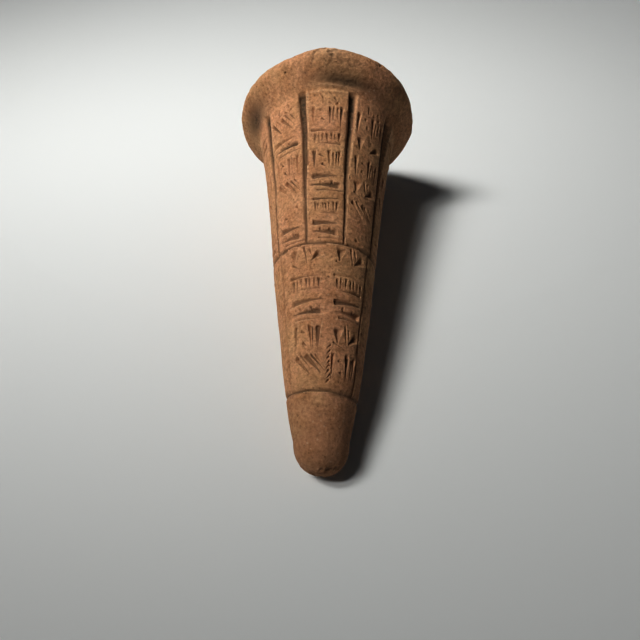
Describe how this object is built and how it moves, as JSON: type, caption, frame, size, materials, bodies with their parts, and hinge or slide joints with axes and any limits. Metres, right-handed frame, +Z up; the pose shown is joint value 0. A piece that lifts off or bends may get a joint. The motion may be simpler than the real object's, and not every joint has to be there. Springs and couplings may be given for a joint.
{
  "type": "foundation cone",
  "caption": "Tapered clay nail with a flanged round head, ruled columns and rows of pressed strokes on its shank; lies on its rim and tip.",
  "frame": {"origin": "middle of the floor area the cone lies on", "axes": "+Z up, +Y along the cone's length from the tip towards the head, +X to the right seen from the tip"},
  "size_m": [0.0598, 0.1312, 0.059],
  "materials": {
    "fired_clay": "matt unglazed fired clay, sandy, with grey-brown dirt in the strokes and the hollow under the head"
  },
  "bodies": {
    "root": {"clay_cone": "fired_clay"}
  },
  "joints": []
}
